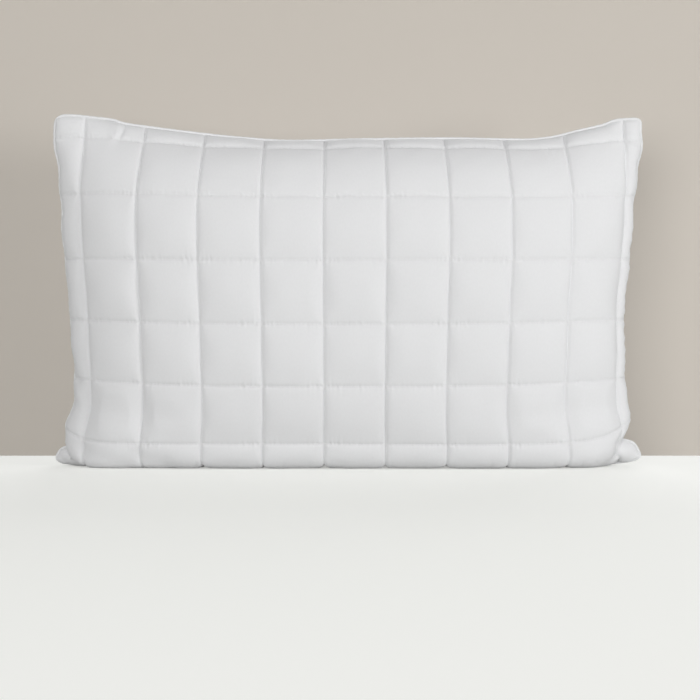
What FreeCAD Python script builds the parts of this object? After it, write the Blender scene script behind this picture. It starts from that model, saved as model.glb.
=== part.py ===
"""Quilted bed pillow standing on its long edge, as a stack of sewn layers round a fibre filling.

The frame is millimetres with +Z up, +X along the pillow's width and +Y towards its back. The origin lies
on the surface that the pillow stands on, under the middle of its loft. Two quilted panels, each a face
cloth, a wadding and a lining, meet at a piped seam in the plane y = 0.
"""

import FreeCAD
import Part
import math
import os

V = FreeCAD.Vector

# Overall shape of the filled pillow, measured on the outside of its face cloths.
CORNER_HALF_SPAN = 370.0  # from the middle to a top corner
CORNER_HEIGHT = 442.0  # of the top corners above the floor
MIDDLE_HEIGHT = 411.0  # of the sagging top seam, at its middle
WAIST_HALF_SPAN = 346.0  # where the short sides pull in most
WAIST_HEIGHT = 125.0
FOOT_HALF_SPAN = 367.0  # of the bottom corners, which spread on the floor
LOFT = 170.0  # full thickness at the belly
BELLY_HEIGHT = 200.0  # where the loft is greatest
ROOT_DEPTH = 25.0  # how far below the floor the free shape would end, which sets the flat base's width

# How the outline and the crown are curved.
TOP_SAG_POWER = 2.5
SIDE_FLARE_POWER = 1.7
CROWN_POWER_ACROSS = 2.5
CROWN_POWER_UP = 3.2
CROWN_EDGE_POWER = 0.6

# Layers of one quilted panel, from the outside in.
FACE_CLOTH = 0.6
WADDING = 4.0
LINING = 0.4

# Piped seam.
PIPING_RADIUS = 1.6
CORD_RADIUS = 1.1
FLANGE_THICKNESS = 0.5
FLANGE_INSET = 4.2  # how far the flange reaches inside the outline
SEAM_THREAD = 0.3
SEAM_THREAD_WIDTH = 0.5
SEAM_THREAD_INSET = 2.0
SEAM_CLEARANCE = 0.03
SEAT_CLEARANCE = 0.4  # between the piping and the cloth that it borders
CHANNEL_HALF_WIDTH = 14.0  # the base rises to the seam over this width, each side

# Quilting: square checks, laid out from the top seam.
CHECK_SIZE = 77.0
CHECKS_ACROSS = 9
CHECKS_UP = 5
TOP_BORDER = 30.0
QUILT_SHIFT = 8.0  # the checks sit this far to +X of the pillow's middle
THREAD = 0.5
THREAD_CLEARANCE = 0.15  # under a thread, where it lies on the cloth or crosses another thread
THREAD_FLOOR_GAP = 4.0  # the upright threads end this far above the floor
THREAD_END_SHARE = 0.985  # level threads stop at this share of the half width

# Closing seam, where the pillow was filled, and the care label, both on the back.
CLOSING_LENGTH = 220.0
CLOSING_STITCH = 6.0
CLOSING_GAP = 3.0
CLOSING_HEIGHT = 0.6
LABEL_WIDTH = 34.0
LABEL_HEIGHT = 50.0
LABEL_THICKNESS = 0.35
LABEL_FOOT = 122.0  # height of the label's lower edge
LABEL_MIDDLE = 318.0  # from the pillow's middle to the label's

# Samples of the crowned surface.
STATIONS_ACROSS = 24
STATIONS_UP = 20
PIPING_RUN = 30.0  # about the length of one straight run of the piping

PANEL_DEPTH = FACE_CLOTH + WADDING + LINING
SEAM_GAP = FLANGE_THICKNESS / 2 + SEAM_THREAD + 2 * SEAM_CLEARANCE  # from y = 0 to a panel's rim
SEAM_HEIGHT = 2 * PIPING_RADIUS + SEAT_CLEARANCE + 0.1  # of the bottom seam, with the piping under it
FRONT, BACK = -1, 1


def half_span(z):
    """Half width of the outline at height z."""
    if z > WAIST_HEIGHT:
        rise = (z - WAIST_HEIGHT) / (CORNER_HEIGHT - WAIST_HEIGHT)
        return WAIST_HALF_SPAN + (CORNER_HALF_SPAN - WAIST_HALF_SPAN) * rise**SIDE_FLARE_POWER
    drop = min((WAIST_HEIGHT - z) / WAIST_HEIGHT, 1.0)
    return WAIST_HALF_SPAN + (FOOT_HALF_SPAN - WAIST_HALF_SPAN) * drop**SIDE_FLARE_POWER


def top_height(share):
    """Height of the top seam at a share, from -1 to 1, of the half width."""
    return MIDDLE_HEIGHT + (CORNER_HEIGHT - MIDDLE_HEIGHT) * abs(share) ** TOP_SAG_POWER


def crown(share, power):
    """Share of the loft that is left at a share of the way from the middle to the edge."""
    return max(0.0, 1.0 - abs(share) ** power) ** CROWN_EDGE_POWER


def surface_point(side, share, turn, inset):
    """A point on the crowned surface that lies inset below the outside.

    share runs from -1 to 1 across, and turn from -pi/2 at the root to pi/2 at the top seam.
    """
    up = math.sin(turn)
    reach = top_height(share) - BELLY_HEIGHT if up > 0 else BELLY_HEIGHT + ROOT_DEPTH
    z = BELLY_HEIGHT + (reach - inset) * up
    x = share * (half_span(z) - inset)
    depth = (LOFT / 2 - SEAM_GAP - inset) * crown(share, CROWN_POWER_ACROSS) * crown(up, CROWN_POWER_UP)
    return V(x, side * (SEAM_GAP + depth), z)


def stations(count):
    """Shares from -1 to 1 that crowd towards both ends, where the crown is steep."""
    return [math.sin(math.pi * (i / (count - 1) - 0.5)) for i in range(count)]


def turns(count):
    """Even turns from the root to the top seam."""
    return [math.pi * (i / (count - 1) - 0.5) for i in range(count)]


def surface(points):
    """A smooth face through rows of points."""
    made = Part.BSplineSurface()
    made.interpolate(points)
    return made.toShape()


def solid_of(faces):
    """A closed solid sewn from faces that meet edge to edge, facing outwards."""
    shell = Part.Shell(faces)
    if not shell.isClosed():
        shell.sewShape(1e-3)
    made = Part.Solid(shell)
    if made.Volume < 0:
        made.reverse()
    return made


def below(points, side, inset):
    """A wide prism under the outline given by points in the YZ plane, for trimming a base."""
    reach = 2 * CORNER_HALF_SPAN
    corners = [V(-reach, side * y, z) for y, z in points]
    return Part.Face(Part.makePolygon(corners + corners[:1])).extrude(V(2 * reach, 0, 0))


def base_trims(side, inset):
    """The floor under one panel, and the slope that rises from it to the seam."""
    floor = -2 * ROOT_DEPTH
    wide = LOFT
    seam = SEAM_HEIGHT + inset
    slope = (seam - inset) / CHANNEL_HALF_WIDTH
    flat = below([(-1, floor), (wide, floor), (wide, inset), (-1, inset)], side, inset)
    ramp = below(
        [(-1, floor), (CHANNEL_HALF_WIDTH, floor), (CHANNEL_HALF_WIDTH, inset), (-1, seam + slope)],
        side,
        inset,
    )
    return [flat, ramp]


def half_body(side, inset):
    """Everything between the crowned surface at inset and the seam plane, trimmed flat at the base."""
    grid = [[surface_point(side, s, t, inset) for t in turns(STATIONS_UP)] for s in stations(STATIONS_ACROSS)]
    crowned = surface(grid)
    rim = Part.Face(Part.Wire(Part.__sortEdges__(crowned.Edges)))
    body = solid_of([crowned, rim])
    for trim in base_trims(side, inset):
        body = body.cut(trim)
    return body


def layer(side, outer, inner):
    """One sheet of a quilted panel, between two insets."""
    return half_body(side, outer).cut(half_body(side, inner))


def filling():
    """The fibre inside both linings, in one piece across the seam plane."""
    halves = [half_body(side, PANEL_DEPTH) for side in (FRONT, BACK)]
    rim = max(halves[0].Faces, key=lambda f: f.CenterOfMass.y)
    core = rim.extrude(V(0, 2 * SEAM_GAP, 0))
    return halves[0].fuse([core, halves[1]]).removeSplitter()


def strip(rows):
    """A thin solid along four rows of points, which are the corners of its section in order."""
    lines = []
    for row in rows:
        curve = Part.BSplineCurve()
        curve.interpolate(row)
        lines.append(curve.toShape())
    pairs = list(zip(lines, lines[1:] + lines[:1]))
    sides = [Part.makeRuledSurface(a, b) for a, b in pairs]
    caps = []
    for end in (0, -1):
        corners = [row[end] for row in rows]
        caps.append(Part.makeRuledSurface(Part.makeLine(*corners[:2]), Part.makeLine(*reversed(corners[2:]))))
    return solid_of(sides + caps)


def thread_levels(ply):
    """Outer and inner inset of a quilting thread: ply 0 lies on the face cloth and ply 1 crosses over it."""
    inner = -THREAD_CLEARANCE - ply * (THREAD + THREAD_CLEARANCE)
    return inner - THREAD, inner


def share_at(distance):
    """Share of the half width at a distance over the crowned surface from its middle line."""
    steps, walked, last = 400, 0.0, surface_point(BACK, 0, 0, 0)
    for i in range(1, steps + 1):
        share = math.sin(math.pi / 2 * i / steps)
        point = surface_point(BACK, share, 0, 0)
        walked += point.distanceToPoint(last)
        if walked >= distance:
            return share
        last = point
    return 1.0


def turn_at(distance):
    """Turn at a distance over the crowned surface down from the middle of the top seam."""
    steps, walked, last = 800, 0.0, surface_point(BACK, 0, math.pi / 2, 0)
    for i in range(1, steps + 1):
        turn = math.pi / 2 - math.pi * i / steps
        point = surface_point(BACK, 0, turn, 0)
        walked += point.distanceToPoint(last)
        if walked >= distance:
            return turn
        last = point
    return -math.pi / 2


def turn_above_floor(height):
    """Turn of the surface where it is height above the floor."""
    return math.asin((height - BELLY_HEIGHT) / (BELLY_HEIGHT + ROOT_DEPTH))


def upright_thread(side, share):
    """One quilting thread from the top seam down to the floor."""
    outer, inner = thread_levels(0)
    half = THREAD / 2 / WAIST_HALF_SPAN
    low, high = turn_above_floor(THREAD_FLOOR_GAP), math.radians(88)
    steps = [low + (high - low) * i / STATIONS_UP for i in range(STATIONS_UP + 1)]
    section = [(share - half, outer), (share + half, outer), (share + half, inner), (share - half, inner)]
    return strip([[surface_point(side, s, t, level) for t in steps] for s, level in section])


def level_thread(side, turn):
    """One quilting thread from short side to short side."""
    outer, inner = thread_levels(1)
    half = THREAD / 2 / (CORNER_HEIGHT - BELLY_HEIGHT) / max(math.cos(turn), 0.2)
    span = math.asin(THREAD_END_SHARE)
    count = 2 * STATIONS_UP
    shares = [math.sin(span * (2 * i / count - 1)) for i in range(count + 1)]
    section = [(turn - half, outer), (turn + half, outer), (turn + half, inner), (turn - half, inner)]
    return strip([[surface_point(side, s, t, level) for s in shares] for t, level in section])


def upright_stitching(side):
    """The threads between the columns of checks."""
    half = CHECKS_ACROSS / 2
    lines = [QUILT_SHIFT + CHECK_SIZE * (i - half) for i in range(CHECKS_ACROSS + 1)]
    shares = [math.copysign(share_at(abs(u)), u) for u in lines]
    return Part.Compound([upright_thread(side, share) for share in shares])


def level_stitching(side):
    """The threads between the rows of checks, down to the last one above the floor."""
    lines = [TOP_BORDER + CHECK_SIZE * i for i in range(CHECKS_UP + 1)]
    return Part.Compound([level_thread(side, turn_at(v)) for v in lines])


def care_label():
    """A small satin label that lies on the back panel beside the seam."""
    sheet = layer(BACK, -SEAT_CLEARANCE - LABEL_THICKNESS, -SEAT_CLEARANCE)
    corner = V(LABEL_MIDDLE - LABEL_WIDTH / 2, 0, LABEL_FOOT)
    return sheet.common(Part.makeBox(LABEL_WIDTH, LOFT, LABEL_HEIGHT, corner))


def outline(offset):
    """Corners and runs of the seam's outline in the plane y = 0, offset outwards, as points in order."""
    low = SEAM_HEIGHT - offset
    high = CORNER_HEIGHT + offset
    rises = max(4, round((high - low) / PIPING_RUN))
    side = [low + (high - low) * i / rises for i in range(rises + 1)]
    right = [V(half_span(min(max(z, SEAM_HEIGHT), CORNER_HEIGHT)) + offset, 0, z) for z in side]
    runs = max(6, 2 * round(CORNER_HALF_SPAN / PIPING_RUN))
    shares = [1 - 2 * i / runs for i in range(1, runs)]
    top = [V(s * (CORNER_HALF_SPAN + offset), 0, top_height(s) + offset) for s in shares]
    left = [V(-p.x, 0, p.z) for p in reversed(right)]
    return right + top + left


def rounded_wire(points, corner_radius):
    """A closed wire through points, with every corner rounded by a tangent arc."""
    count = len(points)
    starts, ends, arcs = [], [], []
    for i, corner in enumerate(points):
        before, after = points[i - 1] - corner, points[(i + 1) % count] - corner
        turn = math.pi - before.getAngle(after)
        if turn < 1e-4:
            starts.append(corner)
            ends.append(corner)
            arcs.append(None)
            continue
        longest = 0.45 * min(before.Length, after.Length)
        trim = min(longest, corner_radius * math.tan(turn / 2)) if turn > math.radians(30) else longest
        a, b = V(before).normalize(), V(after).normalize()
        start, end = corner + a * trim, corner + b * trim
        inwards = V(a + b).normalize()
        radius = trim / math.tan(turn / 2)
        centre = corner + inwards * (radius / math.cos(turn / 2))
        starts.append(start)
        ends.append(end)
        arcs.append(Part.Arc(start, centre - inwards * radius, end).toShape())
    edges = []
    for i in range(count):
        if arcs[i]:
            edges.append(arcs[i])
        edges.append(Part.makeLine(ends[i], starts[(i + 1) % count]))
    return Part.Wire(Part.__sortEdges__(edges))


def piping_line():
    """The centre line of the piping, just outside the cloth's outline."""
    return rounded_wire(outline(PIPING_RADIUS + SEAT_CLEARANCE), 2 * PIPING_RADIUS)


def tube(wire, radius):
    """A round bar along a closed wire."""
    edge = max(wire.Edges, key=lambda e: e.Length)
    middle = edge.valueAt((edge.FirstParameter + edge.LastParameter) / 2)
    along = edge.tangentAt((edge.FirstParameter + edge.LastParameter) / 2)
    section = Part.Wire(Part.makeCircle(radius, middle, along))
    return solid_of(wire.makePipe(section).Faces)


def flat_ring(outer, inner, low, high):
    """A flat ring between two wires in the plane y = 0, from y = low to y = high."""
    ring = Part.Face(outer).cut(Part.Face(inner)).extrude(V(0, high - low, 0))
    ring.translate(V(0, low, 0))
    return ring


def piping_cover():
    """The bias strip: a sleeve round the cord with a flange caught in the seam."""
    line = piping_line()
    inner = rounded_wire(outline(-FLANGE_INSET), PIPING_RADIUS)
    flange = flat_ring(line, inner, -FLANGE_THICKNESS / 2, FLANGE_THICKNESS / 2)
    return tube(line, PIPING_RADIUS).fuse(flange).cut(tube(line, CORD_RADIUS))


def edge_seam_stitching():
    """The seam's two threads, one each side of the flange."""
    outer = rounded_wire(outline(-SEAM_THREAD_INSET), PIPING_RADIUS)
    inner = rounded_wire(outline(-SEAM_THREAD_INSET - SEAM_THREAD_WIDTH), PIPING_RADIUS)
    low = FLANGE_THICKNESS / 2 + SEAM_CLEARANCE
    high = low + SEAM_THREAD
    return Part.Compound([flat_ring(outer, inner, low, high), flat_ring(outer, inner, -high, -low)])


def closing_stitching():
    """Short stitches that close the filling gap, on the slope beside the bottom seam, at the back."""
    pitch = CLOSING_STITCH + CLOSING_GAP
    count = int(CLOSING_LENGTH // pitch)
    slope = math.atan2(SEAM_HEIGHT, CHANNEL_HALF_WIDTH)
    stitches = []
    for i in range(count):
        x = (i - count / 2) * pitch
        stitch = Part.makeBox(CLOSING_STITCH, CLOSING_HEIGHT, THREAD)
        stitch.translate(V(x, 0, -THREAD - THREAD_CLEARANCE))
        stitch.rotate(V(0, 0, 0), V(1, 0, 0), -math.degrees(slope))
        stitch.translate(V(0, CHANNEL_HALF_WIDTH / 2, SEAM_HEIGHT / 2))
        stitches.append(stitch)
    return Part.Compound(stitches)


def panel(name, side):
    """The nodes of one quilted panel."""
    lining = FACE_CLOTH + WADDING
    return {
        f"{name}_face_cloth": layer(side, 0, FACE_CLOTH),
        f"{name}_wadding": layer(side, FACE_CLOTH, lining),
        f"{name}_lining": layer(side, lining, PANEL_DEPTH),
        f"{name}_upright_stitching": upright_stitching(side),
        f"{name}_level_stitching": level_stitching(side),
    }


def pillow():
    """Every node of the pillow by name."""
    return {
        **panel("front", FRONT),
        **panel("back", BACK),
        "fibre_filling": filling(),
        "piping_cord": tube(piping_line(), CORD_RADIUS),
        "piping_cover": piping_cover(),
        "edge_seam_stitching": edge_seam_stitching(),
        "closing_seam_stitching": closing_stitching(),
        "care_label": care_label(),
    }


os.makedirs("parts", exist_ok=True)
for node, shape in pillow().items():
    solids = shape.Solids
    whole = solids[0] if len(solids) == 1 else Part.Compound(solids)
    box = whole.BoundBox
    print(f"{node}: {len(solids)} solids, valid {whole.isValid()}, {whole.Volume / 1000:.1f} cm3,", end=" ")
    print(f"x {box.XMin:.1f} {box.XMax:.1f} y {box.YMin:.1f} {box.YMax:.1f} z {box.ZMin:.2f} {box.ZMax:.1f}")
    whole.exportStep(f"parts/{node}.step")
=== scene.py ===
"""A quilted bed pillow that stands on its long edge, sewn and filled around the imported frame.

Meshes are metres in the frame: +X along the pillow, +Y to its back, +Z up. Sizes in the classes are
millimetres unless they say otherwise. A panel is cut flat, with u across and v down from the top seam,
then laid over the filled form, blown up between its quilting lines and sewn to its twin by a piped seam.
"""

import logging
import math
from dataclasses import dataclass, field
from enum import Enum

import bpy
import numpy as np
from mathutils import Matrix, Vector


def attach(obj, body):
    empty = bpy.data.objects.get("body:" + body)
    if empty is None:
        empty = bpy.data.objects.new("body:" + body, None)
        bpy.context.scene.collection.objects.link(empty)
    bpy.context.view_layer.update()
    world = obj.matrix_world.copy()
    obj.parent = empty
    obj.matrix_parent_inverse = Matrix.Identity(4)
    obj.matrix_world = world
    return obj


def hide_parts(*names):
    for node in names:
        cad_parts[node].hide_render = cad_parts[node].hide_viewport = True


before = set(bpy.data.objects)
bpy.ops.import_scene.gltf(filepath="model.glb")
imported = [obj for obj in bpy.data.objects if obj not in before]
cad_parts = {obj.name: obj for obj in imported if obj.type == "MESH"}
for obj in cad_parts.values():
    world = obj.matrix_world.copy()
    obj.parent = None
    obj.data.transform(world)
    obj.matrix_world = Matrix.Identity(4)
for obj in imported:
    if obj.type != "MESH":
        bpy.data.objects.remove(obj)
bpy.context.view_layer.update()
LOG = logging.getLogger("pillow")
MM = 0.001
BODY = "root"

Points = np.ndarray
Faces = np.ndarray
Piece = bpy.types.Object


class Side(Enum):
    """A panel's side of the seam, as the sign of its Y."""

    FRONT = -1
    BACK = 1

    @property
    def word(self) -> str:
        """The side as the frame's nodes name it."""
        return self.name.lower()


# --- curves and meshes


def flowing(at: Points, knots: tuple, values: tuple) -> Points:
    """Reads a smooth curve that passes through a few known values.

    Args:
        at: where the curve is read.
        knots: rising positions of the known values.
        values: the known values.

    Returns:
        The curve's value at each position, held level past the ends.
    """
    x, y = np.asarray(knots, float), np.asarray(values, float)
    rises = np.diff(y) / np.diff(x)
    before, after = rises[:-1], rises[1:]
    level = before * after <= 0
    inner = np.where(level, 0, 2 * before * after / np.where(level, 1, before + after))
    slopes = np.concatenate([rises[:1], inner, rises[-1:]])
    at = np.clip(at, x[0], x[-1])
    i = np.clip(np.searchsorted(x, at, side="right") - 1, 0, len(x) - 2)
    gap = x[i + 1] - x[i]
    t = (at - x[i]) / gap
    start = (2 * t**3 - 3 * t**2 + 1) * y[i] + (t**3 - 2 * t**2 + t) * gap * slopes[i]
    return start + (3 * t**2 - 2 * t**3) * y[i + 1] + (t**3 - t**2) * gap * slopes[i + 1]


def unevenness(a: Points, b: Points, wave: float, seed: int) -> Points:
    """Smooth random unevenness, mostly within -1 to 1.

    Args:
        a: first coordinate of each point.
        b: second coordinate of each point.
        wave: mean wavelength, in the coordinates' unit.
        seed: picks one pattern.

    Returns:
        The unevenness at each point.
    """
    dice = np.random.default_rng(abs(seed))
    total = np.zeros(np.broadcast(a, b).shape)
    for _ in range(9):
        heading, phase = dice.uniform(0, 2 * math.pi, 2)
        length = wave * dice.uniform(0.65, 1.6)
        total += np.cos((a * math.cos(heading) + b * math.sin(heading)) * 2 * math.pi / length + phase)
    return total / 3


def along_path(at: Points, walked: Points, path: Points) -> Points:
    """Places on a path, from how far along it they lie and how far each of its points does."""
    return np.stack([np.interp(at, walked, path[:, axis]) for axis in range(3)], axis=-1)


def grid_faces(rows: int, columns: int, first: int = 0, flip: bool = False) -> Faces:
    """Quads of a grid of points that is stored row by row.

    Args:
        rows: rows of points.
        columns: points in a row.
        first: number of the grid's first point.
        flip: turns the quads over.

    Returns:
        One row of four point numbers for each quad.
    """
    r, c = np.meshgrid(np.arange(rows - 1), np.arange(columns - 1), indexing="ij")
    a = (first + r * columns + c).ravel()
    quads = np.stack([a, a + columns, a + columns + 1, a + 1], axis=1)
    return quads[:, ::-1] if flip else quads


def mesh_object(name: str, points: Points, faces: Faces | list) -> Piece:
    """A mesh object from points and faces.

    Args:
        name: the piece's name.
        points: one row of coordinates for each point.
        faces: one row of point numbers for each face, or a list of rows of different lengths.

    Returns:
        The new object, linked to the scene.
    """
    mesh = bpy.data.meshes.new(name)
    corners = faces if isinstance(faces, list) else faces.tolist()
    mesh.from_pydata(np.asarray(points, float).reshape(-1, 3).tolist(), [], corners)
    mesh.validate()
    mesh.shade_smooth()
    made = bpy.data.objects.new(name, mesh)
    bpy.context.scene.collection.objects.link(made)
    return made


def closed_shell(outer: Points, inner: Points, side: Side) -> tuple[Points, Faces]:
    """A closed body between two grids of points of the same size.

    Args:
        outer: the grid that faces out of the pillow.
        inner: the grid that faces the filling.
        side: the panel's side.

    Returns:
        The points and the quads. Both grids face out of the body and the rim's quads face into it.
    """
    rows, columns = outer.shape[:2]
    count = rows * columns
    back = side is Side.BACK
    quads = [grid_faces(rows, columns, 0, back), grid_faces(rows, columns, count, not back)]
    ring = rim_numbers(rows, columns)
    after = np.roll(ring, -1)
    walls = np.stack([ring, ring + count, after + count, after], axis=1)
    quads.append(walls[:, ::-1] if back else walls)
    return np.concatenate([outer.reshape(-1, 3), inner.reshape(-1, 3)]), np.concatenate(quads)


def rim_numbers(rows: int, columns: int) -> np.ndarray:
    """Numbers of a grid's edge points, in order round it: along the top, then down the +u side."""
    number = np.arange(rows * columns).reshape(rows, columns)
    return np.concatenate([number[0, :-1], number[:-1, -1], number[-1, :0:-1], number[:0:-1, 0]])


# --- finishes


class Weave:
    """Shader groups that the finishes share."""

    def __init__(self) -> None:
        """Makes both groups."""
        self.plain = self.plain_weave()
        self.fluff = self.loose_fibre()

    @staticmethod
    def group(name: str, inputs: dict[str, float], outputs: tuple[str, ...]) -> tuple:
        """An empty shader group with named sockets.

        Args:
            name: the group's name.
            inputs: each input's name and default.
            outputs: names of the outputs.

        Returns:
            The group, the sockets that come in and the sockets that go out.
        """
        tree = bpy.data.node_groups.new(name, "ShaderNodeTree")
        tree.interface.new_socket("Vector", in_out="INPUT", socket_type="NodeSocketVector")
        for title, default in inputs.items():
            socket = tree.interface.new_socket(title, in_out="INPUT", socket_type="NodeSocketFloat")
            socket.default_value = default
        for title in outputs:
            tree.interface.new_socket(title, in_out="OUTPUT", socket_type="NodeSocketFloat")
        into, out = tree.nodes.new("NodeGroupInput"), tree.nodes.new("NodeGroupOutput")
        return tree, into.outputs, out.inputs

    @staticmethod
    def maths(tree: bpy.types.NodeTree, operation: str, *values) -> bpy.types.NodeSocket:
        """A Math node whose inputs are sockets or numbers."""
        node = tree.nodes.new("ShaderNodeMath")
        node.operation = operation
        for socket, value in zip(node.inputs, values):
            if isinstance(value, (int, float)):
                socket.default_value = value
            else:
                tree.links.new(value, socket)
        return node.outputs[0]

    def plain_weave(self) -> bpy.types.NodeTree:
        """Over-and-under yarns with slubs, as a height and a mottle mask."""
        tree, into, out = self.group("plain_weave", {"Yarns": 2600.0, "Slub": 0.3}, ("Height", "Mottle"))
        scaled = tree.nodes.new("ShaderNodeVectorMath")
        scaled.operation = "SCALE"
        tree.links.new(into["Vector"], scaled.inputs[0])
        tree.links.new(into["Yarns"], scaled.inputs["Scale"])
        parts = tree.nodes.new("ShaderNodeSeparateXYZ")
        tree.links.new(scaled.outputs[0], parts.inputs[0])
        warp = self.maths(tree, "SINE", self.maths(tree, "MULTIPLY", parts.outputs[0], math.pi))
        weft = self.maths(tree, "SINE", self.maths(tree, "MULTIPLY", parts.outputs[1], math.pi))
        crossing = self.maths(tree, "MULTIPLY", warp, weft)
        slub = tree.nodes.new("ShaderNodeTexNoise")
        stretch = tree.nodes.new("ShaderNodeVectorMath")
        stretch.operation = "MULTIPLY"
        stretch.inputs[1].default_value = (420.0, 240.0, 240.0)
        tree.links.new(into["Vector"], stretch.inputs[0])
        tree.links.new(stretch.outputs[0], slub.inputs["Vector"])
        slub.inputs["Scale"].default_value = 1.0
        slub.inputs["Detail"].default_value = 3.0
        mottle = self.maths(tree, "MULTIPLY", slub.outputs["Fac"], into["Slub"])
        tree.links.new(self.maths(tree, "ADD", crossing, mottle), out["Height"])
        tree.links.new(slub.outputs["Fac"], out["Mottle"])
        return tree

    def loose_fibre(self) -> bpy.types.NodeTree:
        """Matted fibre, as a height and a mottle mask."""
        tree, into, out = self.group("loose_fibre", {"Scale": 260.0}, ("Height", "Mottle"))
        noise = tree.nodes.new("ShaderNodeTexNoise")
        noise.inputs["Detail"].default_value = 6.0
        noise.inputs["Distortion"].default_value = 2.5
        tree.links.new(into["Vector"], noise.inputs["Vector"])
        tree.links.new(into["Scale"], noise.inputs["Scale"])
        tree.links.new(noise.outputs["Fac"], out["Height"])
        tree.links.new(noise.outputs["Fac"], out["Mottle"])
        return tree


class Place(Enum):
    """Which coordinates a finish follows."""

    CUT = "UV"
    SPACE = "Object"


@dataclass(frozen=True)
class Finish:
    """One cloth, thread or fibre finish.

    The colours are the lit and the mottled shade, and bump is the relief's depth in millimetres.
    """

    name: str
    colour: tuple[float, float, float]
    shade: tuple[float, float, float]
    roughness: float
    bump: float
    sheen: float = 0.1
    place: Place = Place.CUT
    fluffy: bool = False
    grain: float = 2600.0

    def make(self, weave: Weave) -> bpy.types.Material:
        """The finish as a material.

        Args:
            weave: the shader groups.

        Returns:
            The material.
        """
        material = bpy.data.materials.new(self.name)
        material.use_nodes = True
        tree = material.node_tree
        shader = tree.nodes["Principled BSDF"]
        shader.inputs["Roughness"].default_value = self.roughness
        shader.inputs["Sheen Weight"].default_value = self.sheen
        shader.inputs["Sheen Roughness"].default_value = 0.4
        shader.inputs["Specular IOR Level"].default_value = 0.25
        where = tree.nodes.new("ShaderNodeTexCoord")
        relief = tree.nodes.new("ShaderNodeGroup")
        relief.node_tree = weave.fluff if self.fluffy else weave.plain
        relief.inputs[1].default_value = self.grain
        tree.links.new(where.outputs[self.place.value], relief.inputs["Vector"])
        mix = tree.nodes.new("ShaderNodeMix")
        mix.data_type = "RGBA"
        mix.inputs["A"].default_value = (*self.shade, 1)
        mix.inputs["B"].default_value = (*self.colour, 1)
        tree.links.new(relief.outputs["Mottle"], mix.inputs["Factor"])
        tree.links.new(mix.outputs["Result"], shader.inputs["Base Color"])
        bump = tree.nodes.new("ShaderNodeBump")
        bump.inputs["Distance"].default_value = self.bump * MM
        tree.links.new(relief.outputs["Height"], bump.inputs["Height"])
        tree.links.new(bump.outputs["Normal"], shader.inputs["Normal"])
        return material


class Wardrobe:
    """Every finish of the pillow, made once."""

    FINISHES = (
        Finish("face_cloth", (0.83, 0.833, 0.845), (0.79, 0.793, 0.805), 0.62, 0.03, 0.15, grain=1900.0),
        Finish("wadding", (0.82, 0.82, 0.81), (0.7, 0.7, 0.69), 0.95, 0.5, 0.3, Place.SPACE, True, 260.0),
        Finish("lining", (0.8, 0.8, 0.79), (0.74, 0.74, 0.73), 0.9, 0.06, 0.1, Place.CUT, False, 900.0),
        Finish("filling", (0.84, 0.84, 0.84), (0.7, 0.7, 0.7), 0.95, 0.8, 0.4, Place.SPACE, True, 180.0),
        Finish("cord", (0.78, 0.77, 0.74), (0.66, 0.65, 0.62), 0.9, 0.2, 0.1, Place.SPACE, True, 600.0),
        Finish("piping", (0.85, 0.855, 0.865), (0.8, 0.805, 0.815), 0.6, 0.03, 0.2),
        Finish("thread", (0.88, 0.88, 0.89), (0.8, 0.8, 0.81), 0.5, 0.08, 0.1, Place.SPACE, True, 2200.0),
        Finish("label", (0.87, 0.87, 0.87), (0.83, 0.83, 0.83), 0.35, 0.02, 0.3, Place.CUT, False, 3400.0),
    )

    def __init__(self) -> None:
        """Makes each finish as a material."""
        weave = Weave()
        self.materials = {finish.name: finish.make(weave) for finish in self.FINISHES}

    def dress(self, piece: Piece, slot: str, *nodes: str) -> Piece:
        """Gives a piece its finish and its place in the frame.

        Args:
            piece: the finished piece.
            slot: the record's material slot, which names the finish.
            nodes: the frame's nodes that the piece stands for.

        Returns:
            The piece.
        """
        piece.data.materials.clear()
        piece.data.materials.append(self.materials[slot])
        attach(piece, BODY)
        if nodes:
            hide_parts(*nodes)
        LOG.info("%s: %d faces", piece.name, len(piece.data.polygons))
        return piece


# --- the cut and the filled form


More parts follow.
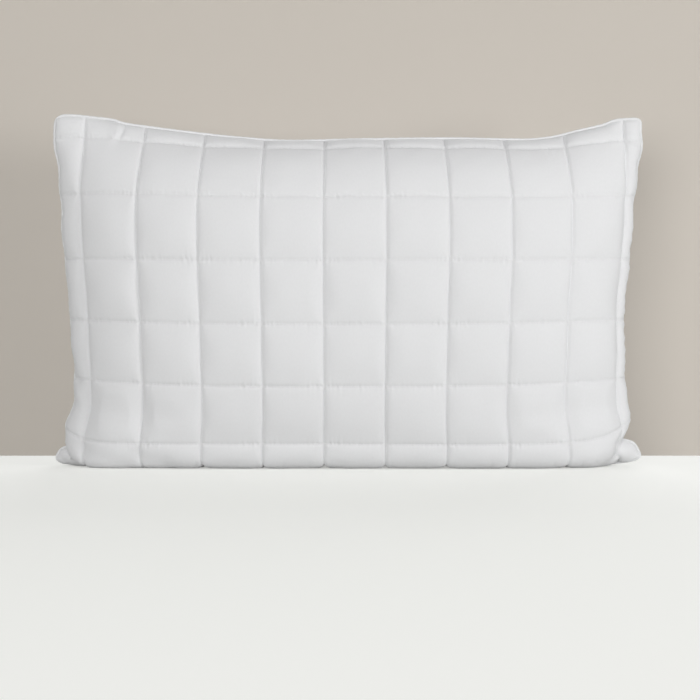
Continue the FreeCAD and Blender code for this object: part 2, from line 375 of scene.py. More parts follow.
@dataclass
class QuiltPattern:
    """The flat cut of a panel and the lines that it is quilted along."""

    half_width: float = 378.5
    height: float = 500.0
    check: float = 77.0
    across: int = 9
    rows: int = 5
    shift: float = 8.0
    top_border: float = 30.0
    steps_across: int = 44
    steps_down: int = 16
    crowding_across: float = 0.3
    crowding_down: float = 0.6

    @property
    def uprights(self) -> Points:
        """Where the upright lines lie across the cut."""
        return self.shift + self.check * (np.arange(self.across + 1) - self.across / 2)

    @property
    def levels(self) -> Points:
        """How far below the top seam the level lines lie."""
        return self.top_border + self.check * np.arange(self.rows + 1)

    def stations(self, low: float, high: float, lines: Points, steps: int, crowding: float) -> Points:
        """Stations that fall on every line and crowd beside it.

        Args:
            low: the cut's first edge.
            high: the cut's last edge.
            lines: the quilting lines between them.
            steps: steps between two lines.
            crowding: 0 for even steps, up to 1 for steps that vanish at the lines.

        Returns:
            The stations in rising order, with an even number of steps between lines.
        """
        marks = np.concatenate([[low], lines, [high]])
        runs = []
        for a, b in zip(marks, marks[1:]):
            count = 2 * max(2, round(steps * (b - a) / self.check / 2))
            t = np.arange(count) / count
            runs.append(a + (b - a) * (t - crowding * np.sin(2 * math.pi * t) / (2 * math.pi)))
        return np.concatenate(runs + [[high]])

    def grid(self) -> tuple[Points, Points]:
        """Grids of u and v over the cut."""
        half = self.half_width
        u = self.stations(-half, half, self.uprights, self.steps_across, self.crowding_across)
        v = self.stations(0, self.height, self.levels, self.steps_down, self.crowding_down)
        return np.meshgrid(u, v)

    @staticmethod
    def cell_share(at: Points, lines: Points, low: float, high: float) -> Points:
        """How far through its cell each coordinate is, from 0 to 1."""
        marks = np.concatenate([[low], lines, [high]])
        i = np.clip(np.searchsorted(marks, at + 1e-6, side="right") - 1, 0, len(marks) - 2)
        return np.clip((at - marks[i]) / (marks[i + 1] - marks[i]), 0, 1)


@dataclass(frozen=True)
class Fold:
    """A soft ridge, or a valley if its height is below 0, between two points of the cut."""

    start: tuple[float, float]
    end: tuple[float, float]
    height: float
    width: float

    def relief(self, u: Points, v: Points) -> Points:
        """How far the fold lifts each point of the cut."""
        (u0, v0), (u1, v1) = self.start, self.end
        length = math.hypot(u1 - u0, v1 - v0)
        along = ((u - u0) * (u1 - u0) + (v - v0) * (v1 - v0)) / length**2
        nearest = np.clip(along, 0, 1)
        away = np.hypot(u - u0 - nearest * (u1 - u0), v - v0 - nearest * (v1 - v0))
        taper = 0.35 + 0.65 * np.sin(math.pi * np.clip(along, 0, 1))
        return self.height * np.exp(-((away / self.width) ** 2)) * taper


@dataclass
class PillowForm:
    """The filled pillow's shape, as a map from the flat cut to the frame."""

    pattern: QuiltPattern
    edge_power: float = 0.6
    rim: float = 1.2
    lumps: float = 1.0
    left_corner: float = 13.0
    right_corner: float = 6.0
    wobble: float = 1.1
    section_v: tuple = (0, 30, 68, 107, 145, 184, 222, 261, 299, 338, 376, 415, 436, 446, 456, 478, 500)
    section_depth: tuple = (0, 25, 51, 68, 76, 79, 79.5, 79.5, 78.5, 75, 68, 57, 52.5, 47, 38, 19, 0)
    section_height: tuple = (
        410, 396.5, 371, 336, 297.5, 258, 219, 180, 142, 104, 67, 32, 11.5, 4, 3, 3, 3.4,
    )
    crown_v: tuple = (0, 68, 107, 376, 430, 500)
    crown_power: tuple = (2.4, 2.6, 2.9, 3.1, 7.0, 8.0)
    side_v: tuple = (0, 30, 107, 184, 261, 338, 392, 418, 436, 452, 470, 500)
    left_height: tuple = (442, 414, 343, 262, 186, 112, 68, 48, 34, 25, 21, 6)
    left_span: tuple = (372, 371, 363, 358, 351, 346, 350, 358, 358, 351, 365, 375)
    right_height: tuple = (438, 410, 341, 262, 186, 112, 74, 60, 46, 34, 29, 11)
    right_span: tuple = (371, 369, 361, 354, 347, 349, 354, 355, 349, 343, 361, 374)
    waist_v: tuple = (0, 107, 184, 261, 338, 415, 500)
    waist_span: tuple = (372, 363, 357, 350, 348, 354, 362)
    top_share: tuple = (
        -1, -0.93, -0.88, -0.8, -0.77, -0.69, -0.5, -0.37, -0.2,
        0.06, 0.34, 0.6, 0.68, 0.79, 0.87, 0.915, 1,
    )
    top_height: tuple = (
        443.5, 443, 441, 437.5, 433.5, 429, 420, 415, 411,
        413, 414, 412.5, 415, 424.5, 431.5, 437.5, 439.5,
    )
    sag_reach: float = 170.0
    level_v: tuple = (0, 376, 430, 500)
    left_level_power: tuple = (2.6, 3.2, 26.0, 36.0)
    right_level_power: tuple = (2.6, 3.2, 16.0, 24.0)
    edge_reach: float = 14.0

    def shares(self, u: Points, v: Points) -> Points:
        """Share of the half width that each point reaches, so that the cloth keeps its length.

        Args:
            u: grid of places across the cut.
            v: grid of places down the cut, the same along each row.

        Returns:
            Shares from -1 to 1.
        """
        table = np.sin(np.linspace(0, math.pi / 2, 500))
        made = np.empty_like(u)
        for row in range(len(u)):
            down = v[row, :1]
            depth = flowing(down, self.section_v, self.section_depth)[0]
            waist = flowing(down, self.waist_v, self.waist_span)[0]
            crown = self.crown(table, down)
            run = np.hypot(np.diff(table) * waist, np.diff(crown) * depth)
            walked = np.concatenate([[0], np.cumsum(run)])
            walked *= self.pattern.half_width / walked[-1]
            made[row] = np.interp(np.abs(u[row]), walked, table) * np.sign(u[row])
        return made

    def crown(self, share: Points, down: Points) -> Points:
        """Share of the depth that is left at a share of the half width."""
        power = flowing(down, self.crown_v, self.crown_power)
        return np.maximum(1 - np.abs(share) ** power, 0) ** self.edge_power

    def rounded(self, u: Points, v: Points) -> tuple[Points, Points]:
        """Eases the cut's corners inwards, so that the seam turns them on a small curve."""
        reach = np.where(u < 0, self.left_corner, self.right_corner)
        half, height = self.pattern.half_width, self.pattern.height
        a = np.clip(1 - (half - np.abs(u)) / reach, 0, 1)
        up = np.clip(1 - v / reach, 0, 1)
        down = np.clip(1 - (height - v) / reach, 0, 1)
        b = up + down
        a_round, b_round = a * np.sqrt(1 - b**2 / 2), b * np.sqrt(1 - a**2 / 2)
        u = u - np.sign(u) * reach * (a - a_round)
        return u, v + reach * (b - b_round) * np.where(up > 0, 1, -1)

    def surface(self, u: Points, v: Points, side: Side) -> Points:
        """Lays points of the cut on the form.

        Args:
            u: grid of places across the cut.
            v: grid of places down the cut.
            side: the panel's side.

        Returns:
            A grid of coordinates in metres.
        """
        u, eased = self.rounded(u, v)
        share = self.shares(u, v)
        v = eased
        depth = flowing(v, self.section_v, self.section_depth) * self.crown(share, v)
        z = self.height_at(share, v)
        top = flowing(share, self.top_share, self.top_height) - self.height_at(share, 0 * v)
        z = z + top * np.clip(1 - v / self.sag_reach, 0, 1) ** 2
        spans = (flowing(v, self.side_v, reach) for reach in (self.left_span, self.right_span))
        span = np.where(share < 0, *spans)
        waist = flowing(v, self.waist_v, self.waist_span)
        x = share * (waist + (span - waist) * np.abs(share) ** self.edge_reach)
        x = x + self.wobble * unevenness(v, 40 * np.sign(share), 34, 11) * np.abs(share) ** 24
        y = side.value * (self.rim + depth)
        return np.stack([x, y, z], axis=-1) * MM

    def height_at(self, share: Points, v: Points) -> Points:
        """Height of the form where nothing sags, from its middle section and its side seams."""
        middle = flowing(v, self.section_v, self.section_height)
        sides = (flowing(v, self.side_v, heights) for heights in (self.left_height, self.right_height))
        edge = np.where(share < 0, *sides)
        knots = (self.left_level_power, self.right_level_power)
        powers = (flowing(v, self.level_v, power) for power in knots)
        return middle + (edge - middle) * np.abs(share) ** np.where(share < 0, *powers)


# --- quilted panels


@dataclass(frozen=True)
class ClothFeel:
    """How the cloth takes the air, in the simulation's own units."""

    quality: int = 3
    mass: float = 0.05
    stretch: float = 20.0
    shear: float = 8.0
    bending: float = 0.8
    damping: float = 5.0
    air: float = 1.0
    pressure: float = 900.0
    slack: float = 0.004
    frames: int = 12

    def apply(self, settings: bpy.types.ClothSettings) -> None:
        """Gives a Cloth modifier this feel."""
        settings.quality = self.quality
        settings.mass = self.mass
        settings.tension_stiffness = settings.compression_stiffness = self.stretch
        settings.shear_stiffness = self.shear
        settings.bending_stiffness = self.bending
        settings.tension_damping = settings.compression_damping = self.damping
        settings.air_damping = self.air
        settings.shrink_min = -self.slack
        settings.use_pressure = True
        settings.uniform_pressure_force = self.pressure
        settings.effector_weights.gravity = 0


@dataclass
class QuiltedPanel:
    """One quilted panel: its face cloth, wadding, lining and the thread that quilts them."""

    form: PillowForm
    side: Side
    folds: tuple = ()
    feel: ClothFeel = ClothFeel()
    level_lift: float = 2.7
    start_puff: float = 0.5
    arch_power: float = 0.42
    rise_power: float = 0.4
    most_move: float = 4.0
    crease: float = 1.1
    crease_width: float = 1.5
    gathers: float = 1.3
    pucker: float = 1.05
    pucker_reach: float = 3.2
    gather_pitch: float = 15.0
    gather_reach: float = 15.0
    unrest: float = 0.22
    unrest_wave: float = 36.0
    lump_wave: float = 170.0
    floor: float = 0.4
    cloth: float = 0.6
    wadding: float = 4.0
    sewn_wadding: float = 0.5
    lining: float = 0.4
    layer_gap: float = 0.08
    seam_gap: float = 0.3
    stitch: float = 4.0
    thread: float = 0.28
    thread_ends: float = 5.0
    stitch_wave: tuple = (-0.7, 0.4, 0.62, 0.4)
    seed: int = 5
    u: Points = field(init=False)
    v: Points = field(init=False)
    points: Points = field(init=False)
    base: Points = field(init=False)
    base_out: Points = field(init=False)

    def __post_init__(self) -> None:
        """Lays out the cut's grid and its lines."""
        pattern = self.form.pattern
        self.u, self.v = pattern.grid()
        self.upright = self.on_lines(self.u, pattern.uprights)
        self.level = self.on_lines(self.v, pattern.levels)
        self.rim = np.zeros_like(self.upright)
        self.rim[[0, -1]] = True
        self.rim[:, [0, -1]] = True
        across = pattern.cell_share(self.u, pattern.uprights, -pattern.half_width, pattern.half_width)
        down = pattern.cell_share(self.v, pattern.levels, 0, pattern.height)
        self.arch = np.sin(math.pi * across).clip(0) ** self.arch_power
        self.rise = np.sin(math.pi * down).clip(0) ** self.rise_power

    @staticmethod
    def on_lines(at: Points, lines: Points) -> Points:
        """True where a coordinate lies on one of the lines."""
        return np.min(np.abs(at[..., None] - lines), axis=-1) < 1e-6

    def normals(self, points: Points) -> Points:
        """Unit normals of the panel's grid, pointing out of the pillow."""
        across, down = np.gradient(points, axis=1), np.gradient(points, axis=0)
        out = np.cross(across, down) * self.side.value
        return out / np.maximum(np.linalg.norm(out, axis=-1, keepdims=True), 1e-12)

    def sew(self) -> None:
        """Lays the cloth on the form, blows it up between its lines and settles its small folds."""
        base = self.form.surface(self.u, self.v, self.side)
        self.base_out = self.normals(base)
        relief = sum((fold.relief(self.u, self.v) for fold in self.folds), np.zeros_like(self.u))
        lumps = self.form.lumps * unevenness(self.u, self.v, self.lump_wave, self.seed)
        relief = relief + lumps * self.fade_at_rim(30)
        self.base = base + self.base_out * (relief * ~self.rim)[..., None] * MM
        sewn = self.level | self.upright | self.rim
        lift = self.level_lift * self.arch * ~self.rim
        lift = lift + np.where(sewn, 0, self.start_puff * self.arch * self.rise)
        start = self.base + self.base_out * lift[..., None] * MM
        self.points = self.settled(self.blown(start, sewn))

    def patch(self, u: Points, v: Points) -> tuple[Points, Points]:
        """Places and outward normals over a small patch of the cut.

        Args:
            u: the patch's columns across the cut.
            v: the patch's rows down the cut.

        Returns:
            Two grids, the places in metres and the unit normals.
        """
        found = []
        for grid in (self.points, self.normals(self.points)):
            level = [[np.interp(u, self.u[0], row) for row in grid[..., axis]] for axis in range(3)]
            lines = [np.transpose(part) for part in level]
            column = [[np.interp(v, self.v[:, 0], line) for line in part] for part in lines]
            found.append(np.transpose(column))
        return found[0], found[1]

    def fade_at_rim(self, reach: float) -> Points:
        """0 at the seam, rising to 1 at a reach inside it."""
        pattern = self.form.pattern
        beside = pattern.half_width - np.abs(self.u)
        away = np.minimum(beside, np.minimum(self.v, pattern.height - self.v))
        return np.clip(away / reach, 0, 1)

    def blown(self, start: Points, sewn: Points) -> Points:
        """Cloth simulation of the panel, held along its sewn lines and pushed out from inside.

        Args:
            start: the grid of coordinates before.
            sewn: true where the cloth is held.

        Returns:
            The grid of coordinates after.
        """
        rows, columns = self.u.shape
        quads = grid_faces(rows, columns, 0, self.side is Side.BACK)
        blown = mesh_object(f"{self.side.word}_blown", start, quads)
        held = blown.vertex_groups.new(name="sewn")
        held.add(np.flatnonzero(sewn).tolist(), 1.0, "REPLACE")
        puff = blown.modifiers.new("puff", "CLOTH")
        self.feel.apply(puff.settings)
        puff.settings.vertex_group_mass = held.name
        puff.collision_settings.use_collision = False
        puff.point_cache.frame_start, puff.point_cache.frame_end = 1, self.feel.frames
        scene = bpy.context.scene
        for number in range(1, self.feel.frames + 1):
            scene.frame_set(number)
        done = blown.evaluated_get(bpy.context.evaluated_depsgraph_get())
        after = np.empty(start.size)
        done.data.vertices.foreach_get("co", after)
        bpy.data.objects.remove(blown)
        scene.frame_set(1)
        after = after.reshape(start.shape)
        move = after - start
        length = np.linalg.norm(move, axis=-1, keepdims=True)
        outward = (move * self.base_out).sum(-1)[~sewn] / MM
        LOG.info("%s panel blown outward by %.2f mm on average", self.side.word, outward.mean())
        return start + move * np.minimum(1, self.most_move * MM / np.maximum(length, 1e-9))

    def settled(self, points: Points) -> Points:
        """Adds the puckers beside the stitching and rests the cloth on the floor."""
        soft = self.unrest * unevenness(self.u, self.v, self.unrest_wave, self.seed + 2)
        soft = soft * self.arch * self.fade_at_rim(20)
        relief = (soft + self.puckers() + self.seam_gathers() - self.creases()) * ~self.rim
        points = points + self.normals(points) * relief[..., None] * MM
        return self.kept_apart(points, self.floor, self.form.rim)

    def kept_apart(self, points: Points, floor: float, seam: float) -> Points:
        """Keeps a layer above the floor and on its own side of the seam, in millimetres."""
        points = points.copy()
        points[..., 2] = np.maximum(points[..., 2], floor * MM)
        points[..., 1] = self.side.value * np.maximum(points[..., 1] * self.side.value, seam * MM)
        return points

    def creases(self) -> Points:
        """How far the thread pulls the cloth in along its lines, in millimetres."""
        pattern = self.form.pattern
        beside = [np.min(np.abs(at[..., None] - lines), axis=-1)
                  for at, lines in ((self.u, pattern.uprights), (self.v, pattern.levels))]
        pulled = [np.exp(-((away / self.crease_width) ** 2)) for away in beside]
        pulled[1] = pulled[1] * (1 - 0.5 * self.ticks(self.u, 61 + self.side.value))
        return self.crease * np.maximum(*pulled) * self.fade_at_rim(6)

    @staticmethod
    def ticks(at: Points, seed: int) -> Points:
        """Uneven gathers along a line of stitches, from -1 to 1."""
        warp = at + 2.0 * unevenness(at, 0 * at, 45, seed)
        short, long = 5.4, 9.1
        wave = np.cos(2 * math.pi * warp / short) * 0.7 + np.cos(2 * math.pi * warp / long + 1) * 0.3
        return wave * np.clip(0.5 + 0.7 * unevenness(at, 0 * at, 80, seed + 1), 0, 1.5)

    def seam_gathers(self) -> Points:
        """Small folds that run in from the side seams, in millimetres."""
        away = self.form.pattern.half_width - np.abs(self.u)
        end = np.sign(self.u) * 60
        warp = self.v + 5 * unevenness(self.v, end, 60, 21)
        wave = np.cos(2 * math.pi * warp / self.gather_pitch + away / 9)
        patch = np.clip(0.45 + 0.7 * unevenness(self.v, end, 120, 23), 0, 1.5)
        return self.gathers * wave * patch * np.exp(-away / self.gather_reach) * self.fade_at_rim(5)

    def puckers(self) -> Points:
        """Short gathers that cross the level lines and fade away from them, in millimetres."""
        pattern = self.form.pattern
        total = np.zeros_like(self.u)
        for number, line in enumerate(pattern.levels):
            for sign in (-1, 1):
                away = (self.v - line) * sign
                seed = 40 + 7 * number + sign + 100 * (self.side is Side.BACK)
                beside = np.exp(-np.abs(away) / self.pucker_reach)
                beside = beside * (0.45 + 0.55 * np.clip(away / 1.5, 0, 1))
                total += self.pucker * self.ticks(self.u, seed) * np.where(away >= 0, beside, 0)
        return total * self.arch**0.5 * self.fade_at_rim(12)

    def sunk(self, depth: Points | float, step: int = 1) -> Points:
        """A grid under the face, squeezed towards the seam where there is little room.

        Args:
            depth: how far under the face it lies, in millimetres.
            step: takes every row and column, or every second one.

        Returns:
            A grid of coordinates in metres.
        """
        room = np.maximum(np.abs(self.points[..., 1]) / MM - self.seam_gap, 0.2)
        sink = room * (1 - np.exp(-depth / room))
        under = self.points - self.base_out * sink[..., None] * MM
        return self.kept_apart(under, self.floor + 0.5, self.seam_gap)[::step, ::step]

    def shell(self, name: str, outer: Points, inner: Points, step: int = 1) -> Piece:
        """A closed layer of the panel with its place in the cut as its UV map."""
        piece = mesh_object(name, *closed_shell(outer, inner, self.side))
        u, v = self.u[::step, ::step].ravel(), self.v[::step, ::step].ravel()
        self.unwrap(piece, np.tile(u, 2), np.tile(v, 2))
        return piece

    @staticmethod
    def unwrap(piece: Piece, u: Points, v: Points) -> None:
        """Gives a piece its place in the flat cut, in metres, as its UV map."""
        layer = piece.data.uv_layers.new(name="cut")
        corner = np.empty(len(piece.data.loops), int)
        piece.data.loops.foreach_get("vertex_index", corner)
        layer.data.foreach_set("uv", (np.stack([u, v], axis=1)[corner] * MM).ravel())

    @property
    def wadding_foot(self) -> Points:
        """How deep the wadding reaches under the face: lofty in the cells and thin at the lines."""
        loft = np.sqrt(self.arch * self.rise)
        thick = self.sewn_wadding + (self.wadding - self.sewn_wadding) * loft
        return self.cloth + self.layer_gap + thick

    @property
    def lining_foot(self) -> Points:
        """How deep the lining reaches under the face."""
        return self.wadding_foot + self.layer_gap + self.lining

    def dress(self, wardrobe: Wardrobe) -> None:
        """Builds the panel's layers and its quilting thread."""
        word = self.side.word
        inner = self.points - self.normals(self.points) * self.cloth * MM
        inner = self.kept_apart(inner, self.floor + self.cloth, self.form.rim - self.cloth)
        cloth = self.shell(f"{word}_cover", self.points, inner)
        wardrobe.dress(cloth, "face_cloth", f"{word}_face_cloth")
        under = self.cloth + self.layer_gap
        wadding = self.shell(f"{word}_batting", self.sunk(under), self.sunk(self.wadding_foot))
        wardrobe.dress(wadding, "wadding", f"{word}_wadding")
        under = self.wadding_foot + self.layer_gap
        lining = self.shell(f"{word}_backing", self.sunk(under, 2), self.sunk(self.lining_foot, 2), 2)
        wardrobe.dress(lining, "lining", f"{word}_lining")
        for name, lines in (("upright", self.upright), ("level", self.level)):
            thread = self.quilting(f"{word}_{name}_thread", name == "upright")
            wardrobe.dress(thread, "thread", f"{word}_{name}_stitching")

    def quilting(self, name: str, upright: bool) -> Piece:
        """Lockstitches along every upright or level line, over the face and under the lining.

        Args:
            name: the piece's name.
            upright: follows the upright lines, not the level ones.

        Returns:
            The thread.
        """
        out = self.normals(self.points)
        face, foot = self.points, self.sunk(self.lining_foot)
        mask = self.upright[1] if upright else self.level[:, 1]
        wave = self.stitch_wave
        parts = []
        for number in np.flatnonzero(mask):
            pick = (slice(None), number) if upright else (number, slice(None))
            for line, lift in ((face[pick], 1), (foot[pick], -1)):
                path, normal = self.stitch_places(line, out[pick], upright)
                rise = np.resize(wave if lift > 0 else wave[2:] + wave[:2], len(path)) * lift
                parts.append((path + normal * rise[:, None] * MM, normal))
        return tubes(name, parts, self.thread * MM, 6)

    def stitch_places(self, line: Points, out: Points, upright: bool) -> tuple[Points, Points]:
        """Four places for each stitch along a line, clear of the seams at its ends."""
        walked = np.concatenate([[0], np.cumsum(np.linalg.norm(np.diff(line, axis=0), axis=1))]) / MM
        ends = self.thread_ends
        at = np.arange(ends, walked[-1] - ends, self.stitch / 4)
        place, normal = along_path(at, walked, line), along_path(at, walked, out)
        return place, normal / np.linalg.norm(normal, axis=1, keepdims=True)


def tubes(name: str, runs: list, radius: float, sides: int) -> Piece:
    """Round threads along open paths, closed at both ends. Their faces point into the thread.

    Args:
        name: the piece's name.
        runs: a path and a normal beside it for each thread.
        radius: the thread's radius in metres.
        sides: points round the thread.

    Returns:
        The threads as one object.
    """
    points, faces, count = [], [], 0
    turn = np.linspace(0, 2 * math.pi, sides, endpoint=False)
    for path, normal in runs:
        tangent = np.gradient(path, axis=0)
        tangent /= np.linalg.norm(tangent, axis=1, keepdims=True)
        across = np.cross(tangent, normal)
        across /= np.linalg.norm(across, axis=1, keepdims=True)
        up = np.cross(across, tangent)
        ring = across[:, None] * np.cos(turn)[:, None] + up[:, None] * np.sin(turn)[:, None]
        points.append((path[:, None] + ring * radius).reshape(-1, 3))
        faces += tube_faces(len(path), sides, count)
        count += len(path) * sides
    return mesh_object(name, np.concatenate(points), faces)


def tube_faces(rings: int, sides: int, first: int) -> list:
    """Faces of an open tube of rings with a flat cap at each end."""
    ring = first + np.arange(rings * sides).reshape(rings, sides)
    after = np.roll(ring, -1, axis=1)
    walls = np.stack([ring[:-1], after[:-1], after[1:], ring[1:]], axis=-1).reshape(-1, 4).tolist()
    return walls + [ring[0, ::-1].tolist(), ring[-1].tolist()]


# --- the piped seam, the filling and the label


@dataclass
class PipedSeam:
    """The piping that joins the two panels all round, with its cord and its seam thread."""

    front: QuiltedPanel
    stand: float = 0.9
    radius: float = 1.6
    bore: float = 1.25
    flange_inset: float = 4.2
    flange: float = 0.25
    cord: float = 1.1
    spacing: float = 2.4
    round_sides: int = 14
    thread_inset: float = 2.0
    stitch: float = 3.0
    centre: Points = field(init=False)
    out: Points = field(init=False)

    def __post_init__(self) -> None:
        """Finds the seam's path from the panel's edge."""
        rows, columns = self.front.u.shape
        edge = self.front.points.reshape(-1, 3)[rim_numbers(rows, columns)]
        edge = edge * np.array((1, 0, 1))
        walked = np.concatenate([[0], np.cumsum(np.linalg.norm(edge - np.roll(edge, -1, 0), axis=1))])
        loop = np.concatenate([edge, edge[:1]])
        count = round(walked[-1] / (self.spacing * MM))
        at = np.linspace(0, walked[-1], count, endpoint=False)
        path = along_path(at, walked, loop)
        for _ in range(2):
            path = (np.roll(path, 1, 0) + 2 * path + np.roll(path, -1, 0)) / 4
        along = np.roll(path, -1, 0) - np.roll(path, 1, 0)
        along /= np.linalg.norm(along, axis=1, keepdims=True)
        self.out = np.stack([-along[:, 2], 0 * along[:, 0], along[:, 0]], axis=1)
        self.edge = path
        self.centre = path + self.out * self.stand * MM
        self.length = walked[-1]

    def swept(self, name: str, loops: list) -> Piece:
        """Sweeps closed profiles round the seam.

        Args:
            name: the piece's name.
            loops: for each profile, its outward and its Y places in millimetres, one row for each
                station of the seam, and whether its faces point away from its middle.

        Returns:
            The swept object, with its run round the seam and its run across the strip as a UV map.
        """
        points, faces, run, across, count = [], [], [], [], 0
        for outward, sideways, away in loops:
            stations, places = outward.shape
            ring = self.centre[:, None] + self.out[:, None] * outward[..., None] * MM
            ring = ring + np.array((0, 1, 0)) * sideways[..., None] * MM
            points.append(ring.reshape(-1, 3))
            number = count + np.arange(stations * places).reshape(stations, places)
            side, ahead = np.roll(number, -1, axis=1), np.roll(number, -1, axis=0)
            quads = np.stack([number, ahead, np.roll(ahead, -1, axis=1), side], axis=-1).reshape(-1, 4)
            faces.append(quads[:, ::-1] if away else quads)
            run.append(np.repeat(np.linspace(0, self.length / MM, stations, endpoint=False), places))
            across.append(np.tile(np.linspace(0, 2 * math.pi * self.radius, places), stations))
            count += stations * places
        piece = mesh_object(name, np.concatenate(points), np.concatenate(faces))
        QuiltedPanel.unwrap(piece, np.concatenate(run), np.concatenate(across))
        return piece

    def cover(self) -> Piece:
        """The bias strip: a gathered round casing with two plies of flange held in the seam."""
        opening = math.asin(self.flange / self.radius)
        turn = np.linspace(math.pi - opening, -math.pi + opening, self.round_sides)
        stations = len(self.centre)
        run = np.arange(stations)[:, None] * self.spacing
        gather = 0.07 * np.cos(2 * math.pi * run / 9.3 + turn * 1.4)
        gather = gather + 0.05 * unevenness(run, turn * 6, 17, 3)
        radius = self.radius * (1 + np.clip(gather, -0.13, 0.13))
        tip = np.full((stations, 1), -self.stand - self.flange_inset)
        thick = np.full((stations, 1), self.flange)
        outward = np.concatenate([tip, radius * np.cos(turn), tip], axis=1)
        sideways = np.concatenate([thick, radius * np.sin(turn), -thick], axis=1)
        hole = np.linspace(math.pi, -math.pi, 10, endpoint=False) + 0 * run
        bore = (self.bore * np.cos(hole), self.bore * np.sin(hole), True)
        return self.swept("piping_casing", [(outward, sideways, False), bore])

    def core(self) -> Piece:
        """The piping cord: three twisted strands."""
        turn = np.linspace(math.pi, -math.pi, 12, endpoint=False)
        twist = np.arange(len(self.centre))[:, None] * self.spacing / 9.0 * 2 * math.pi
        radius = self.cord * (1 - 0.16 * np.abs(np.sin(1.5 * (turn + twist))))
        return self.swept("twisted_cord", [(radius * np.cos(turn), radius * np.sin(turn), False)])

    def thread(self) -> Piece:
        """The seam's lockstitches, along both faces of the flange."""
        line = self.edge - self.out * self.thread_inset * MM
        walked = np.arange(len(line)) * self.spacing
        at = np.arange(0, walked[-1], self.stitch / 4)
        place = along_path(at, walked, line)
        runs = []
        for side in Side:
            wave = (0.05, 0.32, 0.42, 0.32) if side is Side.FRONT else (0.42, 0.32, 0.05, 0.32)
            facing = np.array((0, side.value, 0)) + 0 * place
            runs.append((place + facing * np.resize(wave, len(place))[:, None] * MM, facing))
        return tubes("seam_thread", runs, 0.15 * MM, 6)

    def closing(self, back: QuiltedPanel, length: float = 220.0, pitch: float = 9.5) -> Piece:
        """Slip stitches by hand that close the opening, from the back cloth into the piping.

        Args:
            back: the panel that they catch.
            length: the opening's length in millimetres.
            pitch: from one stitch to the next, in millimetres.

        Returns:
            The stitches.
        """
        runs = []
        count = round(length / pitch) + 1
        cloth, inside = back.points[-1], back.points[-2]
        for number in range(count):
            x = (number - (count - 1) / 2) * length / (count - 1) * MM
            edge, caught = (along_path(x, row[:, 0], row) for row in (cloth, inside))
            start = edge + (caught - edge) * 0.9 + np.array((0, 0.3, -0.25)) * MM
            over = edge + np.array((1.2, 0.7, -0.5)) * MM
            end = edge + np.array((2.6, -0.1, -2.4)) * MM
            path = np.stack([start, (start + over) / 2 + np.array((0, 0.2, -0.2)) * MM, over, end])
            path[:, 2] = np.maximum(path[:, 2], 0.35 * MM)
            runs.append((path, np.tile((0.0, 1.0, -0.3), (4, 1))))
        return tubes("closing_thread", runs, 0.22 * MM, 6)

    def dress(self, wardrobe: Wardrobe, back: QuiltedPanel) -> None:
        """Builds the seam's pieces."""
        wardrobe.dress(self.cover(), "piping", "piping_cover")
        wardrobe.dress(self.core(), "cord", "piping_cord")
        wardrobe.dress(self.thread(), "thread", "edge_seam_stitching")
        wardrobe.dress(self.closing(back), "thread", "closing_seam_stitching")


@dataclass
class Filling:
    """The loose fibre inside, shaped by the linings."""

    panels: dict
    gap: float = 0.5
    clump: float = 1.6
    inset: int = 2

    def dress(self, wardrobe: Wardrobe) -> None:
        """Builds the fibre as one closed, clumpy body."""
        grids = []
        for side in Side:
            panel = self.panels[side]
            clumps = self.clump * np.clip(unevenness(panel.u, panel.v, 24, 31 + side.value), -1, 1)
            depth = panel.lining_foot + self.gap + self.clump + clumps
            grids.append(panel.sunk(depth, 2)[self.inset:-self.inset, self.inset:-self.inset])
        piece = mesh_object("loose_fibre", *closed_shell(*grids, Side.FRONT))
        wardrobe.dress(piece, "filling", "fibre_filling")


@dataclass
class CareLabel:
    """A blank woven label, sewn to the back by its outer edge."""

    panel: QuiltedPanel
    width: float = 34.0
    length: float = 50.0
    thick: float = 0.35
    outer_edge: float = 341.0
    top: float = 275.0
    proud: float = 0.8
    curl: float = 1.6
    step: float = 1.0

    def dress(self, wardrobe: Wardrobe) -> None:
        """Lays the label on the back panel and closes it to its thickness."""
        across = np.arange(0, self.width + 0.1, self.step)
        down = np.arange(0, self.length + 0.1, self.step)
        place, out = self.panel.patch(self.outer_edge - self.width + across, self.top + down)
        free = 1 - across[None, :] / self.width
        lift = self.proud + self.curl * free**2 * (0.7 + 0.3 * np.cos(down[:, None] / 9))
        outer = place + out * lift[..., None] * MM
        inner = outer - out * self.thick * MM
        piece = mesh_object("blank_label", *closed_shell(outer, inner, Side.BACK))
        x, y = (at.ravel() for at in np.meshgrid(across, down))
        QuiltedPanel.unwrap(piece, np.tile(x, 2), np.tile(y, 2))
        wardrobe.dress(piece, "label", "care_label")


# --- the studio


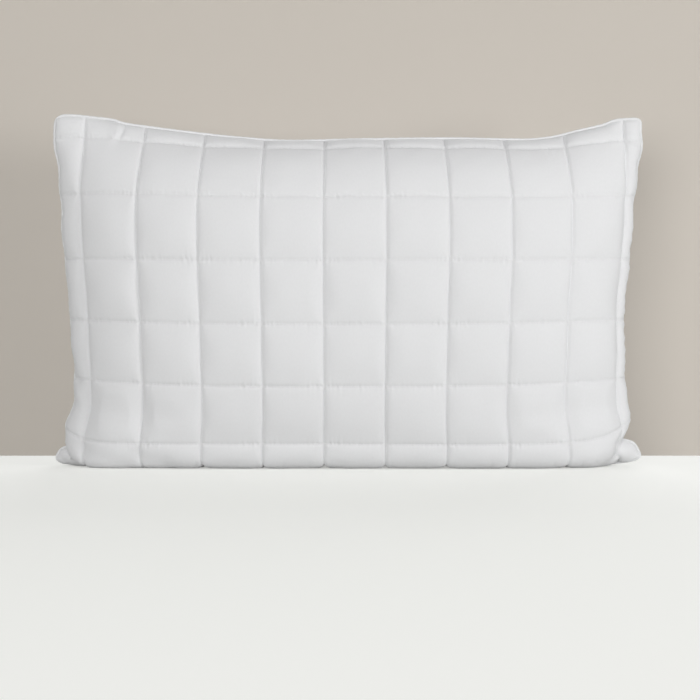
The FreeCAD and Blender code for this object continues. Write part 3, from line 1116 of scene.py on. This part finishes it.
@dataclass
class Studio:
    """The floor, the backdrop, the lights and the camera, in metres."""

    floor_grey: tuple = (0.64, 0.645, 0.625)
    floor_glow: float = 0.62
    wall_beige: tuple = (0.595, 0.55, 0.495)
    wall_y: float = 0.145
    camera_place: tuple = (0.002, -2.0, 0.185)
    camera_dip: float = 1.09
    lens: float = 81.0
    world_colour: tuple = (1, 0.99, 0.975)
    world_strength: float = 0.31
    lamps: tuple = (
        ("key", (3.0, -2.0, 0.5), 1.0, 41, (0, 0, 0.22)),
        ("fill", (-1.0, -4.2, 0.6), 2.6, 99, (0, 0, 0.22)),
        ("overhead", (0.2, -0.9, 3.0), 2.0, 7, (0, -0.6, 0)),
        ("behind", (0.8, 3.4, 1.7), 3.0, 62, (0, 0, 0.2)),
    )

    def build(self) -> None:
        """Sets the scene up."""
        floor = self.plane("floor", (0, -0.6, 0), (6, 6), (0, 0, 0), self.floor_grey)
        tree = floor.data.materials[0].node_tree
        shader = tree.nodes["Principled BSDF"]
        shader.inputs["Emission Color"].default_value = (*self.floor_grey, 1)
        seen = tree.nodes.new("ShaderNodeLightPath").outputs["Is Camera Ray"]
        glow = Weave.maths(tree, "MULTIPLY", seen, self.floor_glow)
        tree.links.new(glow, shader.inputs["Emission Strength"])
        upright = (math.pi / 2, 0, 0)
        wall = self.plane("backdrop", (0, self.wall_y, 1.5), (6, 3), upright, self.wall_beige)
        self.front_only(wall)
        for lamp in self.lamps:
            self.light(*lamp)
        world = bpy.data.worlds.new("studio")
        world.use_nodes = True
        sky = world.node_tree.nodes["Background"].inputs
        sky["Color"].default_value = (*self.world_colour, 1)
        sky["Strength"].default_value = self.world_strength
        bpy.context.scene.world = world
        bpy.context.scene.view_settings.view_transform = "Standard"
        turn = (math.radians(90 - self.camera_dip), 0, 0)
        bpy.ops.object.camera_add(location=self.camera_place, rotation=turn)
        camera = bpy.context.object
        camera.data.lens = self.lens
        bpy.context.scene.camera = camera

    @staticmethod
    def plane(name: str, place: tuple, size: tuple, turn: tuple, colour: tuple) -> Piece:
        """A flat stage piece."""
        bpy.ops.mesh.primitive_plane_add(size=1, location=place, rotation=turn)
        made = bpy.context.object
        made.name = name
        made.scale = (*size, 1)
        material = bpy.data.materials.new(name)
        material.use_nodes = True
        shader = material.node_tree.nodes["Principled BSDF"]
        shader.inputs["Base Color"].default_value = (*colour, 1)
        shader.inputs["Roughness"].default_value = 0.9
        made.data.materials.append(material)
        return made

    @staticmethod
    def front_only(wall: Piece) -> None:
        """Lets light and views from behind through the backdrop."""
        tree = wall.data.materials[0].node_tree
        clear = tree.nodes.new("ShaderNodeBsdfTransparent")
        path = tree.nodes.new("ShaderNodeLightPath")
        geometry = tree.nodes.new("ShaderNodeNewGeometry")
        camera, behind = path.outputs["Is Camera Ray"], geometry.outputs["Backfacing"]
        seen = Weave.maths(tree, "SUBTRACT", camera, behind)
        mix = tree.nodes.new("ShaderNodeMixShader")
        tree.links.new(Weave.maths(tree, "MAXIMUM", seen, 0.0), mix.inputs[0])
        tree.links.new(clear.outputs[0], mix.inputs[1])
        tree.links.new(tree.nodes["Principled BSDF"].outputs[0], mix.inputs[2])
        tree.links.new(mix.outputs[0], tree.nodes["Material Output"].inputs["Surface"])

    @staticmethod
    def light(name: str, place: tuple, size: float, power: float, aim: tuple) -> None:
        """A soft square lamp."""
        bpy.ops.object.light_add(type="AREA", location=place)
        lamp = bpy.context.object
        lamp.name = name
        lamp.data.size = size
        lamp.data.energy = power
        lamp.rotation_euler = (Vector(aim) - Vector(place)).to_track_quat("-Z", "Y").to_euler()


def main() -> None:
    """Builds the pillow, piece by piece."""
    logging.basicConfig(level=logging.INFO, format="%(message)s")
    wardrobe = Wardrobe()
    pattern = QuiltPattern()
    form = PillowForm(pattern)
    folds = (
        Fold((-345, 426), (-250, 448), -5.6, 9),
        Fold((-340, 446), (-255, 470), 4.6, 11),
        Fold((-276, 424), (-198, 462), -5.4, 9),
        Fold((-258, 452), (-196, 482), 3.8, 11),
        Fold((366, 446), (344, 432), -3.4, 6),
        Fold((354, 458), (326, 448), -2.6, 6),
        Fold((-294, 3), (-302, 29), 4.4, 5),
        Fold((-286, 3), (-294, 29), -3.4, 3),
        Fold((252, 32), (256, 60), -1.0, 3),
        Fold((262, 32), (265, 52), -0.9, 2.5),
        Fold((-372, 40), (-352, 78), -1.6, 5),
        Fold((-370, 330), (-352, 350), -1.6, 5),
        Fold((-371, 356), (-350, 372), 1.5, 5),
        Fold((372, 24), (352, 52), 1.6, 5),
    )
    panels = {
        Side.FRONT: QuiltedPanel(form, Side.FRONT, folds),
        Side.BACK: QuiltedPanel(form, Side.BACK, seed=29),
    }
    for side, panel in panels.items():
        panel.sew()
        panel.dress(wardrobe)
    PipedSeam(panels[Side.FRONT]).dress(wardrobe, panels[Side.BACK])
    Filling(panels).dress(wardrobe)
    CareLabel(panels[Side.BACK]).dress(wardrobe)
    Studio().build()


if __name__ == "__main__":
    main()
